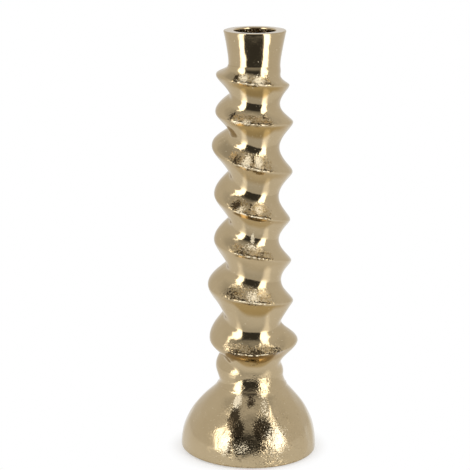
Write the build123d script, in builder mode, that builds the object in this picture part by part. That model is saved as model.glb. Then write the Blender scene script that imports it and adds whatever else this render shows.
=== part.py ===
"""Spiral candle holder: a cast bell foot, spiral column and candle cup, held together by a hidden tie rod."""
from build123d import *
import math
import os

os.makedirs("parts", exist_ok=True)

# Driving sizes in millimetres; z = 0 is the table and x = y = 0 the middle of the foot
bell_height = 40.0
foot_diameter = 80.0
foot_edge_radius = 1.5
bell_wall = 6.0
bell_crown = 9.0
bell_levels = 9
bell_power = 2.45
bell_lean_power = 1.5
dome_top_radius = 17.5
neck_blend = 1.9
neck_ledge = 0.1
# The foot is a little oval, longer towards the front right
foot_oval = 1.2
oval_bearing = -45.0

cup_height = 19.0
rim_diameter = 36.0
rim_edge_radius = 0.8
cup_hollow = 0.25
candle_bore = 24.0
candle_depth = 15.0
mouth_chamfer = 0.6

# Fall of the ridge in each turn, from the top: right to left by the back, left to front, front to right
back_falls = (5.5, 15.0, 13.5, 13.0, 11.5, 14.5, 22.5, 16.5)
left_falls = (3.5, 4.5, 10.0, 9.0, 6.0, 5.0, 4.0, 5.5)
front_falls = (3.0, 2.0, 5.5, 6.5, 7.0, 5.0, -2.5, 5.0)
# Reach of the ridge from the column's middle at the left, front and right of each turn
left_reaches = (21.5, 22.5, 24.5, 23.0, 23.0, 26.5, 25.5, 21.5)
front_reaches = (20.5, 22.0, 23.0, 22.5, 22.5, 24.5, 25.0, 17.6)
right_reaches = (20.0, 22.5, 22.5, 21.5, 22.5, 24.0, 27.0)
# Turns without a ridge go on past both ends, so that every point of the column has a crossing on each side
plain_turns = 2
turn_quarters = 4
quarter_turn = 90.0

# The stem between the ridges: plain above, swelling lower down and flaring where it meets the foot
stem_radius = 14.6
stem_swell = 3.0
swell_start = 100.0
swell_length = 60.0
flare = 2.9
flare_height = 5.0

# The ridge is hollow between crests towards one bearing, and round on the other side with a deeper groove
hollow_bearing = -62.0
hollow_full = 75.0
hollow_end = 130.0
groove_cut = 1.0
groove_rise = 6.0
undercut = 0.10
crest_rounding = 0.25
bead_share = 0.9
bead_start = 55.0
bead_length = 25.0
end_blend = 5.0
# In front the crest is drawn out to a thin lip over a fuller stem
lip_bearing = -82.0
lip_full = 26.0
lip_end = 63.0
lip_share = 0.2
lip_power = 3.0
lip_rounding = 0.14
front_fill = 1.5

# The column and the cup stand a little to the right of the middle of the foot
column_shift = 2.2
cup_shift = 3.4

core_diameter = 16.0
bell_spigot_length = 5.0
cup_spigot_length = 10.0
spigot_clearance = 0.15

rod_diameter = 6.0
rod_tail = 3.0
rod_chamfer = 0.6
rod_end_gap = 1.0
rod_grip = 11.0
thread_clearance = 0.1
hole_clearance = 0.3
washer_diameter = 18.0
washer_thickness = 1.6
spring_diameter = 11.8
spring_thickness = 1.6
spring_gap = 1.5
nut_across_flats = 10.0
nut_height = 5.0
nut_chamfer = 0.6

felt_thickness = 1.6
felt_proud = 0.6
board_thickness = 2.0
rebate_lip = 4.0
rebate_clearance = 0.25

column_stages = 8
stage_levels = 14
column_bearings = 32
seam_bearing = 90.0

# Sizes that follow
column_length = sum(back_falls) + sum(left_falls) + sum(front_falls)
column_top = bell_height + column_length
rim_height = column_top + cup_height
candle_floor = rim_height - candle_depth
rod_shift = (column_shift + cup_shift) / 2
crown_height = bell_height - bell_crown
washer_under = crown_height - washer_thickness
spring_under = washer_under - spring_thickness
nut_under = spring_under - nut_height
rod_under = nut_under - rod_tail
rod_top = column_top - cup_spigot_length + rod_grip
rod_length = rod_top - rod_under
board_under = felt_thickness
rebate_top = felt_thickness + board_thickness
rebate_radius = foot_diameter / 2 - rebate_lip
plain_radius = stem_radius + stem_swell
neck_radius = plain_radius + flare + neck_ledge
neck_start = neck_radius - neck_blend ** 2 / (neck_radius - dome_top_radius)
hole_radius = rod_diameter / 2 + hole_clearance
thread_radius = rod_diameter / 2 + thread_clearance
spigot_radius = core_diameter / 2 - spigot_clearance


def smooth(share):
    """Ease from 0 to 1."""
    held = min(max(share, 0.0), 1.0)
    return held * held * (3 - 2 * held)


def through(values, place):
    """Smooth curve through equally spaced values, read at a place counted in steps from the first."""
    step = min(max(math.floor(place), 1), len(values) - 3)
    part = place - step
    before, here, after, beyond = values[step - 1:step + 3]
    leave = (after - before) / 2
    arrive = (beyond - here) / 2
    bend = 3 * (after - here) - 2 * leave - arrive
    twist = leave + arrive - 2 * (after - here)
    return here + part * (leave + part * (bend + part * twist))


# The ridge's course, quarter turn by quarter turn
mean_fall = column_length / (turn_quarters * len(back_falls))
plain_quarters = turn_quarters * plain_turns
ridge_heights = [column_top + mean_fall * count for count in range(plain_quarters, -1, -1)]
ridge_radii = [stem_radius] * plain_quarters
for turn, fall in enumerate(back_falls):
    for drop in (fall / 2, fall / 2, left_falls[turn], front_falls[turn]):
        ridge_heights.append(ridge_heights[-1] - drop)
    right = right_reaches[turn - 1] if turn > 0 else stem_radius
    left = left_reaches[turn]
    ridge_radii = ridge_radii + [right, (right + left) / 2, left, front_reaches[turn]]
for count in range(plain_quarters):
    ridge_heights.append(ridge_heights[-1] - mean_fall)
ridge_radii = ridge_radii + [plain_radius] * (plain_quarters + 1)


def stem(height):
    """Radius of the column without its ridge."""
    above_bell = height - bell_height
    swell = stem_swell * smooth((swell_start - above_bell) / swell_length)
    return stem_radius + swell + flare * math.exp(-above_bell / flare_height)


def rounded(value, corner):
    """Size of a value between -1 and 1 with the corner at zero rounded off."""
    return (math.hypot(value, corner) - corner) / (math.hypot(1, corner) - corner)


def facing(bearing, middle, full, end):
    """Share that is 1 within some degrees of a middle bearing and falls to 0 further round."""
    here = math.cos(math.radians(bearing - middle))
    most = math.cos(math.radians(full))
    least = math.cos(math.radians(end))
    return smooth((here - least) / (most - least))


def column_radius(bearing, height):
    """Radius of the column at a bearing in degrees, counted from the right as seen from above."""
    turn = plain_quarters - turn_quarters + (bearing % 360) / quarter_turn
    while through(ridge_heights, turn + turn_quarters) > height:
        turn = turn + turn_quarters
    above = through(ridge_heights, turn)
    below = through(ridge_heights, turn + turn_quarters)
    share = (above - height) / (above - below)
    front = max(-math.sin(math.radians(bearing)), 0)
    phase = math.pi * (share - undercut * front * math.sin(math.pi * share) ** 2)
    lip = facing(bearing, lip_bearing, lip_full, lip_end)
    bead = bead_share * smooth((bead_start - height + bell_height) / bead_length)
    hollow = facing(bearing, hollow_bearing, hollow_full, hollow_end) * (1 - bead * (1 - lip))
    corner = crest_rounding + (lip_rounding - crest_rounding) * lip
    edge = 1 - rounded(math.sin(phase), corner)
    edge = edge + lip_share * lip * (edge ** lip_power - edge)
    crest = hollow * edge + (1 - hollow) * rounded(math.cos(phase), corner)
    lower = smooth(share)
    reach = through(ridge_radii, turn) * (1 - lower) + through(ridge_radii, turn + turn_quarters) * lower
    bare = stem(height)
    base = bare + front_fill * front * smooth((reach - bare) / groove_rise)
    rise = max(reach - base, 0)
    groove = groove_cut * (1 - hollow) * min(rise / groove_rise, 1)
    ends = smooth((height - bell_height) / end_blend) * smooth((column_top - height) / end_blend)
    return base + ends * ((rise + groove) * crest - groove)


def column_section(height):
    """Outline of the column at a height, as equally spaced bearings from the back."""
    middle = column_shift + (cup_shift - column_shift) * (height - bell_height) / column_length
    outline = []
    for count in range(column_bearings):
        bearing = seam_bearing + 360 * count / column_bearings
        radius = column_radius(bearing, height)
        across = middle + radius * math.cos(math.radians(bearing))
        outline.append((across, radius * math.sin(math.radians(bearing))))
    return outline


def bell_radius(height):
    """Outer radius of the bell: a dome, steep at the foot, that runs smoothly into the neck."""
    dome = foot_diameter / 2 - (foot_diameter / 2 - dome_top_radius) * (height / bell_height) ** bell_power
    return (dome + neck_start) / 2 + math.hypot((dome - neck_start) / 2, neck_blend)


def bell_shift(height):
    """Sideways place of the bell's middle at a height."""
    return column_shift * (height / bell_height) ** bell_lean_power


# Bell foot: a hollow casting with a rebate below, a thick crown and a spigot that centres the column
with BuildPart() as bell_base:
    for level in range(bell_levels + 1):
        height = felt_proud + (bell_height - felt_proud) * level / bell_levels
        oval = foot_oval * (1 - height / bell_height)
        with BuildSketch(Plane.XY.offset(height)):
            with Locations((bell_shift(height), 0)):
                Ellipse(bell_radius(height) + oval, bell_radius(height) - oval, rotation=oval_bearing)
    loft()
    fillet(bell_base.edges().group_by(Axis.Z)[0], foot_edge_radius)
    for level in range(bell_levels + 1):
        height = felt_proud + (crown_height - felt_proud) * level / bell_levels
        with BuildSketch(Plane.XY.offset(height)):
            with Locations((bell_shift(height), 0)):
                Circle(bell_radius(height) - bell_wall)
    loft(mode=Mode.SUBTRACT)
    with BuildSketch(Plane.XY.offset(felt_proud)):
        Circle(rebate_radius)
    extrude(amount=rebate_top - felt_proud, mode=Mode.SUBTRACT)
    with BuildSketch(Plane.XY.offset(bell_height)):
        with Locations((rod_shift, 0)):
            Circle(spigot_radius)
    extrude(amount=bell_spigot_length)
    with BuildSketch(Plane.XY.offset(crown_height)):
        with Locations((rod_shift, 0)):
            Circle(hole_radius)
    extrude(amount=bell_crown + bell_spigot_length, mode=Mode.SUBTRACT)
bell_base.part.label = "bell_base"
export_step(bell_base.part, "parts/bell_base.step")

# Spiral column: stages of horizontal outlines, with a straight core hole for the rod
bearing_steps = [count / column_bearings for count in range(column_bearings + 1)]
stage_height = column_length / column_stages
with BuildPart() as spiral_column:
    for stage in range(column_stages):
        for level in range(stage_levels + 1):
            height = bell_height + stage_height * (stage + level / stage_levels)
            with BuildSketch(Plane.XY.offset(height)):
                with BuildLine():
                    add(Edge.make_spline(column_section(height), periodic=True, parameters=bearing_steps))
                make_face()
        loft()
    with BuildSketch(Plane.XY.offset(bell_height)):
        with Locations((rod_shift, 0)):
            Circle(core_diameter / 2)
    extrude(amount=column_length, mode=Mode.SUBTRACT)
spiral_column.part.label = "spiral_column"
export_step(spiral_column.part, "parts/spiral_column.step")

# Candle cup: a turned socket with a slightly hollow wall, a flat rim and a tapped spigot below
cup_plane = Plane.XZ.move(Location((cup_shift, 0, 0)))
with BuildPart() as candle_cup:
    with BuildSketch(cup_plane):
        with BuildLine():
            wall_foot = (stem_radius, column_top)
            wall_middle = ((stem_radius + rim_diameter / 2) / 2 - cup_hollow, column_top + cup_height / 2)
            wall_top = (rim_diameter / 2, rim_height)
            ThreePointArc(wall_foot, wall_middle, wall_top)
            Polyline(wall_top, (0, rim_height), (0, column_top), wall_foot)
        make_face()
    revolve(axis=Axis(cup_plane.origin, cup_plane.y_dir))
    fillet(candle_cup.edges().group_by(Axis.Z)[-1], rim_edge_radius)
    with BuildSketch(Plane.XY.offset(candle_floor)):
        with Locations((cup_shift, 0)):
            Circle(candle_bore / 2)
    extrude(amount=candle_depth, mode=Mode.SUBTRACT)
    mouth = candle_cup.edges().filter_by(GeomType.CIRCLE).group_by(Axis.Z)[-1].sort_by(SortBy.RADIUS)[0]
    chamfer(mouth, mouth_chamfer)
    with BuildSketch(Plane.XY.offset(column_top)):
        with Locations((rod_shift, 0)):
            Circle(spigot_radius)
    extrude(amount=-cup_spigot_length)
    with BuildSketch(Plane.XY.offset(column_top - cup_spigot_length)):
        with Locations((rod_shift, 0)):
            Circle(thread_radius)
    extrude(amount=rod_grip + rod_end_gap, mode=Mode.SUBTRACT)
candle_cup.part.label = "candle_cup"
export_step(candle_cup.part, "parts/candle_cup.step")

# Tie rod, screwed into the cup and drawn down by the nut under the crown
with BuildPart() as tie_rod:
    with BuildSketch(Plane.XY.offset(rod_under)):
        with Locations((rod_shift, 0)):
            Circle(rod_diameter / 2)
    extrude(amount=rod_length)
    chamfer(tie_rod.edges().filter_by(GeomType.CIRCLE), rod_chamfer)
tie_rod.part.label = "tie_rod"
export_step(tie_rod.part, "parts/tie_rod.step")

with BuildPart() as flat_washer:
    with BuildSketch(Plane.XY.offset(washer_under)):
        with Locations((rod_shift, 0)):
            Circle(washer_diameter / 2)
            Circle(hole_radius, mode=Mode.SUBTRACT)
    extrude(amount=washer_thickness)
flat_washer.part.label = "flat_washer"
export_step(flat_washer.part, "parts/flat_washer.step")

with BuildPart() as spring_washer:
    with BuildSketch(Plane.XY.offset(spring_under)):
        with Locations((rod_shift, 0)):
            Circle(spring_diameter / 2)
            Circle(hole_radius, mode=Mode.SUBTRACT)
            Rectangle(spring_diameter, spring_gap, align=(Align.MIN, Align.CENTER), mode=Mode.SUBTRACT)
    extrude(amount=spring_thickness)
spring_washer.part.label = "spring_washer"
export_step(spring_washer.part, "parts/spring_washer.step")

with BuildPart() as hex_nut:
    with BuildSketch(Plane.XY.offset(nut_under)):
        with Locations((rod_shift, 0)):
            Circle(nut_across_flats / math.sqrt(3))
    extrude(amount=nut_height)
    chamfer(hex_nut.edges().filter_by(GeomType.CIRCLE), nut_chamfer)
    with BuildSketch(Plane.XY.offset(nut_under)):
        with Locations((rod_shift, 0)):
            RegularPolygon(nut_across_flats / 2, 6, major_radius=False)
    extrude(amount=nut_height, mode=Mode.INTERSECT)
    with BuildSketch(Plane.XY.offset(nut_under)):
        with Locations((rod_shift, 0)):
            Circle(thread_radius)
    extrude(amount=nut_height, mode=Mode.SUBTRACT)
hex_nut.part.label = "hex_nut"
export_step(hex_nut.part, "parts/hex_nut.step")

# Backing board and felt, pressed one after the other into the rebate
with BuildPart() as backing_board:
    with BuildSketch(Plane.XY.offset(board_under)):
        Circle(rebate_radius - rebate_clearance)
    extrude(amount=board_thickness)
backing_board.part.label = "backing_board"
export_step(backing_board.part, "parts/backing_board.step")

with BuildPart() as felt_pad:
    with BuildSketch():
        Circle(rebate_radius - rebate_clearance)
    extrude(amount=felt_thickness)
felt_pad.part.label = "felt_pad"
export_step(felt_pad.part, "parts/felt_pad.step")
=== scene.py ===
"""Looks of a spiral candle holder: three gold castings, the fixings inside them and the felt below.

Sizes are millimetres in the dataclasses and become metres where a mesh is written.
"""

import logging
import math
from dataclasses import dataclass
from enum import Enum
from typing import Any

import bpy
import numpy as np
from numpy.typing import NDArray
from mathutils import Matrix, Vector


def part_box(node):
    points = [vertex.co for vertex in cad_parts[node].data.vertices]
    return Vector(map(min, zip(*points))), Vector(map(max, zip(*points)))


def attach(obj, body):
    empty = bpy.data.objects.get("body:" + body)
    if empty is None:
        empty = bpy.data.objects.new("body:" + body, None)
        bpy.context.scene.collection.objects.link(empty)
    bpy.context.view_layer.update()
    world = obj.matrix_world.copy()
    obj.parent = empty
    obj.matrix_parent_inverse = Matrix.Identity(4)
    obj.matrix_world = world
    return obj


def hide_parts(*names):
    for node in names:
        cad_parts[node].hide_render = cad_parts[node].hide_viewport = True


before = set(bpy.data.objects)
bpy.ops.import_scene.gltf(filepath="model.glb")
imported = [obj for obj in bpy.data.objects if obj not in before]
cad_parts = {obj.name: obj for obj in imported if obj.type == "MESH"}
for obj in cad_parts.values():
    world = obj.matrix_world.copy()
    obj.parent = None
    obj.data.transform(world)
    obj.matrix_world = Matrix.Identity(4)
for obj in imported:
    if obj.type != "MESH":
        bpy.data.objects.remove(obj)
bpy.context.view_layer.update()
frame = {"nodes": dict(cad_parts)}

Array = NDArray[np.float64]
Quads = NDArray[np.int32]
Pair = tuple[float, float]
Place = tuple[float, float, float]
Colour = tuple[float, float, float]
# A bearing, and the degrees either side of it that are wholly and partly taken in.
Facing = tuple[float, float, float]

MM = 0.001
QUARTERS = 4
# Radius at which a closed skin is drawn in to its own axis.
AXIS_RADIUS = 0.02
SHORTEST = 1e-9
NOISE_MIDDLE = 0.5
# Inputs of a Mix node that take its two colours.
MIX_COLOURS = (6, 7)
WHITE = (1.0, 1.0, 1.0, 1.0)
BODY = "root"
log = logging.getLogger("candle_holder")


class Mark(Enum):
    """Point attributes that the finishes read from a casting's mesh."""

    RAW = "raw_skin"
    # Painted shade under each lip: a brown that stands for the column's own dark reflection there.
    SHADE = "shaded_skin"
    EDGE = "crest_nearness"
    # Painted dark reflection: speckled dark patches where the room's dark gap would show in the gold.
    DARK = "dark_skin"
    # Painted highlight: pale patches standing for bright reflections, on the column, the bell and in the
    # candle hole.
    PALE = "pale_skin"


class Ray(Enum):
    """Kinds of ray that see the white background."""

    CAMERA = "Is Camera Ray"
    GLOSSY = "Is Glossy Ray"
    TRANSMISSION = "Is Transmission Ray"


# Curves and grids


def ease(share: Array) -> Array:
    """Smooth step from 0 to 1.

    Args:
        share: Values that are held between 0 and 1 first.

    Returns:
        The eased values, 3 s squared less 2 s cubed.
    """
    held = np.clip(share, 0.0, 1.0)
    return held * held * (3.0 - 2.0 * held)


def facing(bearing: Array, middle: float, full: float, end: float) -> Array:
    """Share of a skin that looks one way.

    Args:
        bearing: Degrees from the right, seen from above.
        middle: The bearing looked to.
        full: Degrees either side of it that are wholly taken in.
        end: Degrees either side where the share reaches zero.

    Returns:
        Eased share of the cosine's fall from full to end.
    """
    here = np.cos(np.radians(bearing - middle))
    most, least = math.cos(math.radians(full)), math.cos(math.radians(end))
    return ease((here - least) / (most - least))


def through(values: Array, place: Array) -> Array:
    """Smooth curve through equally spaced values.

    Between two values it is the cubic whose slope at each is half the step from the one before to the one
    after.

    Args:
        values: The values, one for each whole step.
        place: Where to read the curve, in steps from the first value.

    Returns:
        The curve's values.
    """
    step = np.clip(np.floor(place).astype(int), 1, len(values) - 3)
    part = place - step
    before, here, after, beyond = (values[step + shift] for shift in (-1, 0, 1, 2))
    leave, arrive = (after - before) / 2, (beyond - here) / 2
    bend = 3 * (after - here) - 2 * leave - arrive
    twist = leave + arrive - 2 * (after - here)
    return here + part * (leave + part * (bend + part * twist))


@dataclass(frozen=True)
class Ripple:
    """Smooth bumps of about one size: a seeded sum of plane waves."""

    seed: int
    size: float
    waves: int = 30
    paces: Pair = (0.65, 1.5)

    def __call__(self, points: Array) -> Array:
        """Height of the bumps at points.

        Args:
            points: Places in millimetres, the last axis being x, y and z.

        Returns:
            The sum of sines along random directions, about -2 to 2.
        """
        draw = np.random.default_rng(self.seed)
        aim = draw.normal(size=(3, self.waves))
        aim /= np.linalg.norm(aim, axis=0)
        pace = 2 * math.pi / self.size * draw.uniform(*self.paces, self.waves)
        start = draw.uniform(0, 2 * math.pi, self.waves)
        return np.sin(points @ (aim * pace) + start).sum(axis=-1) * math.sqrt(2 / self.waves)


def round_angles(count: int) -> Array:
    """Radians of equally spaced bearings round a full turn."""
    return 2 * math.pi * np.arange(count) / count


def ring(middle: Array | float, radius: Array | float, angle: Array, height: Array | float) -> Array:
    """Points round upright axes.

    Args:
        middle: How far to the right of the origin each axis stands.
        radius: Distance of each point from its axis.
        angle: Radians from the right, seen from above.
        height: Heights above the table.

    Returns:
        Grid of points: x is the middle plus the radius times the cosine, y the radius times the sine.
    """
    places = np.broadcast_arrays(middle + radius * np.cos(angle), radius * np.sin(angle), height)
    return np.stack(places, axis=-1)


def ring_normals(points: Array) -> Array:
    """Outward directions of a grid that closes both ways.

    Args:
        points: Grid of rows down the skin by bearings round it.

    Returns:
        Unit vectors, the cross product of the steps down and round.
    """
    down = np.roll(points, -1, axis=0) - np.roll(points, 1, axis=0)
    around = np.roll(points, -1, axis=1) - np.roll(points, 1, axis=1)
    out = np.cross(down, around)
    return out / np.maximum(np.linalg.norm(out, axis=-1, keepdims=True), SHORTEST)


def rounded_outline(corners: list[Place], spacing: float, corner_points: int = 7) -> Array:
    """Closed outline of straight runs with rounded corners.

    Each corner is a quadratic curve between points a rounding's length along its two runs. The runs between
    are divided evenly.

    Args:
        corners: Radius, height and rounding of each corner.
        spacing: Distance between points on the runs.
        corner_points: Points on each rounded corner.

    Returns:
        Points of the outline, radius and height.
    """
    place = np.array([corner[:2] for corner in corners])
    rounding = np.array([corner[2] for corner in corners])
    ahead, behind = np.roll(place, -1, axis=0) - place, np.roll(place, 1, axis=0) - place
    length, back = np.linalg.norm(ahead, axis=1), np.linalg.norm(behind, axis=1)
    enter = place + behind * (rounding / back)[:, None]
    leave = place + ahead * (rounding / length)[:, None]
    turn = np.linspace(0, 1, corner_points)[:, None]
    runs = []
    for here, start, end, following, size in zip(place, enter, leave, np.roll(enter, -1, axis=0), rounding):
        bend = start * (1 - turn) ** 2 + 2 * here * turn * (1 - turn) + end * turn ** 2
        steps = max(int(np.linalg.norm(following - end) / spacing), 1)
        run = end + (following - end) * (np.arange(1, steps) / steps)[:, None]
        runs.append(np.concatenate([bend if size > 0 else here[None, :], run]))
    return np.concatenate(runs)


# Pieces


def ring_faces(rows: int, columns: int) -> Quads:
    """Quads of a grid that closes on itself both ways, as a tyre does.

    Args:
        rows: Points down the skin.
        columns: Points round it.

    Returns:
        Four corner numbers for each face, turned outwards.
    """
    here = np.arange(rows * columns, dtype=np.int32).reshape(rows, columns)
    right = np.roll(here, -1, axis=1)
    below, across = np.roll(here, -1, axis=0), np.roll(right, -1, axis=0)
    return np.stack([here, below, across, right], axis=-1).reshape(-1, 4)


def open_faces(rows: int, columns: int) -> Quads:
    """Quads of a plain grid, turned to the side that rows cross columns points to.

    Args:
        rows: Points along the first axis.
        columns: Points along the second.

    Returns:
        Four corner numbers for each face.
    """
    here = np.arange(rows * columns, dtype=np.int32).reshape(rows, columns)
    corners = [here[:-1, :-1], here[1:, :-1], here[1:, 1:], here[:-1, 1:]]
    return np.stack(corners, axis=-1).reshape(-1, 4)


def add_mesh(name: str, points: Array, faces: Quads, crease: float) -> bpy.types.Object:
    """New smooth-shaded object from a grid.

    Args:
        name: The piece's name.
        points: Grid in millimetres, the last axis being x, y and z.
        faces: Corner numbers of the quads.
        crease: Angle in degrees past which an edge stays sharp.

    Returns:
        The object, at the origin.
    """
    mesh = bpy.data.meshes.new(name)
    flat = points.reshape(-1, 3) * MM
    mesh.vertices.add(len(flat))
    mesh.vertices.foreach_set("co", flat.astype(np.float32).ravel())
    mesh.loops.add(faces.size)
    mesh.loops.foreach_set("vertex_index", faces.ravel())
    mesh.polygons.add(len(faces))
    mesh.polygons.foreach_set("loop_start", np.arange(0, faces.size, 4, dtype=np.int32))
    mesh.update(calc_edges=True)
    mesh.shade_smooth()
    mesh.set_sharp_from_angle(angle=math.radians(crease))
    piece = bpy.data.objects.new(name, mesh)
    bpy.context.scene.collection.objects.link(piece)
    return piece


def add_skin(name: str, points: Array, crease: float = 50.0) -> bpy.types.Object:
    """New smooth-shaded object from a grid that closes both ways."""
    return add_mesh(name, points, ring_faces(*points.shape[:2]), crease)


def add_mark(piece: bpy.types.Object, mark: Mark, values: Array) -> None:
    """Writes one value for each point of a piece, for its finish to read.

    Args:
        piece: The piece.
        mark: Which attribute to write.
        values: The values, in the order of the mesh's points.
    """
    attribute = piece.data.attributes.new(mark.value, "FLOAT", "POINT")
    attribute.data.foreach_set("value", values.astype(np.float32).ravel())


def fit_piece(piece: bpy.types.Object, material: bpy.types.Material, node: str) -> None:
    """Gives a piece its finish and puts it in a solid's place.

    Args:
        piece: The new piece.
        material: Its finish.
        node: The solid that it stands for.
    """
    piece.data.materials.append(material)
    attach(piece, BODY)
    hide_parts(node)
    log.info("piece %s stands for %s, %d faces", piece.name, node, len(piece.data.polygons))


# Shader expressions


@dataclass(frozen=True)
class Socket:
    """An output socket that takes part in Python arithmetic; each operation adds a Math node."""

    sheet: "Sheet"
    out: bpy.types.NodeSocket

    def _math(self, operation: str, *values: Any) -> "Socket":
        """One Math node on values and sockets."""
        return self.sheet.add("Math", {"operation": operation}, dict(enumerate(values)))

    def __add__(self, other: Any) -> "Socket":
        """Sum."""
        return self._math("ADD", self, other)

    def __sub__(self, other: Any) -> "Socket":
        """Difference."""
        return self._math("SUBTRACT", self, other)

    def __rsub__(self, other: Any) -> "Socket":
        """Difference from a number."""
        return self._math("SUBTRACT", other, self)

    def __mul__(self, other: Any) -> "Socket":
        """Product."""
        return self._math("MULTIPLY", self, other)

    __radd__ = __add__
    __rmul__ = __mul__

    def most(self, other: Any) -> "Socket":
        """The larger of two values."""
        return self._math("MAXIMUM", self, other)

    def between(self, low: float, high: float) -> "Socket":
        """Smooth rise or fall.

        Args:
            low: Where the result is 0.
            high: Where it is 1. A high below low makes the result fall as the value grows.

        Returns:
            The smooth step from low to high.
        """
        if high < low:
            return 1 - self.between(high, low)
        values = {"Value": self, "From Min": low, "From Max": high}
        return self.sheet.add("MapRange", {"interpolation_type": "SMOOTHSTEP"}, values)


class Sheet:
    """A node tree under construction."""

    def __init__(self, tree: bpy.types.NodeTree) -> None:
        """Empties the tree."""
        self.tree = tree
        tree.nodes.clear()

    def node(self, kind: str, settings: dict[str, Any], sockets: dict[Any, Any]) -> bpy.types.Node:
        """Adds a node.

        Args:
            kind: Node type without its ShaderNode prefix.
            settings: Properties, set first.
            sockets: Values or sockets for the inputs, by name or number.

        Returns:
            The node.
        """
        node = self.tree.nodes.new("ShaderNode" + kind)
        for key, value in settings.items():
            setattr(node, key, value)
        for key, value in sockets.items():
            if isinstance(value, Socket):
                self.tree.links.new(value.out, node.inputs[key])
            else:
                node.inputs[key].default_value = value
        return node

    def add(self, kind: str, settings: dict[str, Any], sockets: dict[Any, Any], output: str = "") -> Socket:
        """One output of a new node: the one named, or else the first that is in use."""
        outputs = self.node(kind, settings, sockets).outputs
        return Socket(self, outputs[output] if output else next(out for out in outputs if out.enabled))

    def place(self) -> Socket:
        """Object coordinates, in metres."""
        return self.add("TexCoord", {}, {}, "Object")

    def mark(self, mark: Mark) -> Socket:
        """A point attribute of the piece."""
        return self.add("Attribute", {"attribute_name": mark.value}, {}, "Fac")

    def vector(self, operation: str, *values: Any) -> Socket:
        """One Vector Math node on vectors."""
        return self.add("VectorMath", {"operation": operation}, dict(enumerate(values)))

    def noise(self, size: float, detail: float = 2.0, rough: float = 0.5, warp: float = 0.0) -> Socket:
        """Noise whose lumps are about size millimetres wide."""
        shape = {"Scale": 1 / (size * MM), "Detail": detail, "Roughness": rough, "Distortion": warp}
        return self.add("TexNoise", {}, {"Vector": self.place(), **shape})

    def streaks(self, size: float, length: float) -> Socket:
        """Noise drawn out upwards, in streaks of these millimetres across and along."""
        drawn = self.vector("MULTIPLY", self.place(), (1.0, 1.0, size / length))
        return self.add("TexNoise", {}, {"Vector": drawn, "Scale": 1 / (size * MM), "Detail": 1.0})

    def pits(self, size: float) -> Socket:
        """Distance from scattered points about size millimetres apart, in shares of that spacing."""
        return self.add("TexVoronoi", {"feature": "F1"}, {"Vector": self.place(), "Scale": 1 / (size * MM)})

    def mix(self, share: Any, first: Any, second: Any) -> Socket:
        """Colour between two colours."""
        ends = [(*value, 1.0) if isinstance(value, tuple) else value for value in (first, second)]
        return self.add("Mix", {"data_type": "RGBA"}, {"Factor": share, **dict(zip(MIX_COLOURS, ends))})

    def blend(self, share: Any, first: Socket, second: Socket) -> Socket:
        """Shader between two shaders."""
        return self.add("MixShader", {}, {"Fac": share, 1: first, 2: second})

    def bump(self, height: Socket, distance: float) -> Socket:
        """Normal tilted by a height, whose full range stands distance millimetres."""
        return self.add("Bump", {}, {"Height": height, "Distance": distance * MM})

    def surface(self, shader: Socket) -> None:
        """Ends the sheet with a surface output."""
        kind = "World" if isinstance(self.tree.id_data, bpy.types.World) else "Material"
        self.node("Output" + kind, {}, {"Surface": shader})

    def principled(self, values: dict[str, Any]) -> None:
        """Ends the sheet with a principled surface of these inputs."""
        self.surface(self.add("BsdfPrincipled", {}, values))


def new_sheet(name: str) -> tuple[bpy.types.Material, Sheet]:
    """Empty material.

    Args:
        name: The material's name.

    Returns:
        The material and its sheet.
    """
    material = bpy.data.materials.new(name)
    material.use_nodes = True
    return material, Sheet(material.node_tree)


@dataclass(frozen=True)
class Slope:
    """A smooth rise by an amount between two places; an end below the start makes it a fall."""

    start: float
    end: float
    amount: float

    def along(self, value: Socket) -> Socket:
        """How much of the rise is done at a value."""
        return value.between(self.start, self.end) * self.amount


@dataclass(frozen=True)
class Cloud:
    """Noise in lumps of about size millimetres, with the two levels that it is cut off at."""

    size: float
    detail: float
    low: float
    high: float
    rough: float = 0.5
    warp: float = 0.0

    def noise(self, sheet: Sheet) -> Socket:
        """The noise itself."""
        return sheet.noise(self.size, self.detail, self.rough, self.warp)

    def share(self, sheet: Sheet) -> Socket:
        """How far the noise has come from the low level to the high one."""
        return self.noise(sheet).between(self.low, self.high)


@dataclass(frozen=True)
class Fray:
    """Noise in lumps of about size millimetres that breaks up the border of a mark."""

    size: float
    detail: float
    sway: float
    low: float
    high: float

    def share(self, sheet: Sheet, mark: Socket) -> Socket:
        """How far the mark, swayed by the noise, has come from the low level to the high one."""
        swayed = mark + (sheet.noise(self.size, self.detail) - NOISE_MIDDLE) * self.sway
        return swayed.between(self.low, self.high)


@dataclass(frozen=True)
class Grain:
    """Noise in lumps of about size millimetres that stands higher on raw skin than on polished skin."""

    size: float
    detail: float
    raw: float
    polished: float

    def height(self, sheet: Sheet, coarse: Socket) -> Socket:
        """Height of the grain, in shares of the finish's relief."""
        return sheet.noise(self.size, self.detail) * (coarse * self.raw + self.polished)


# Finishes


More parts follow.
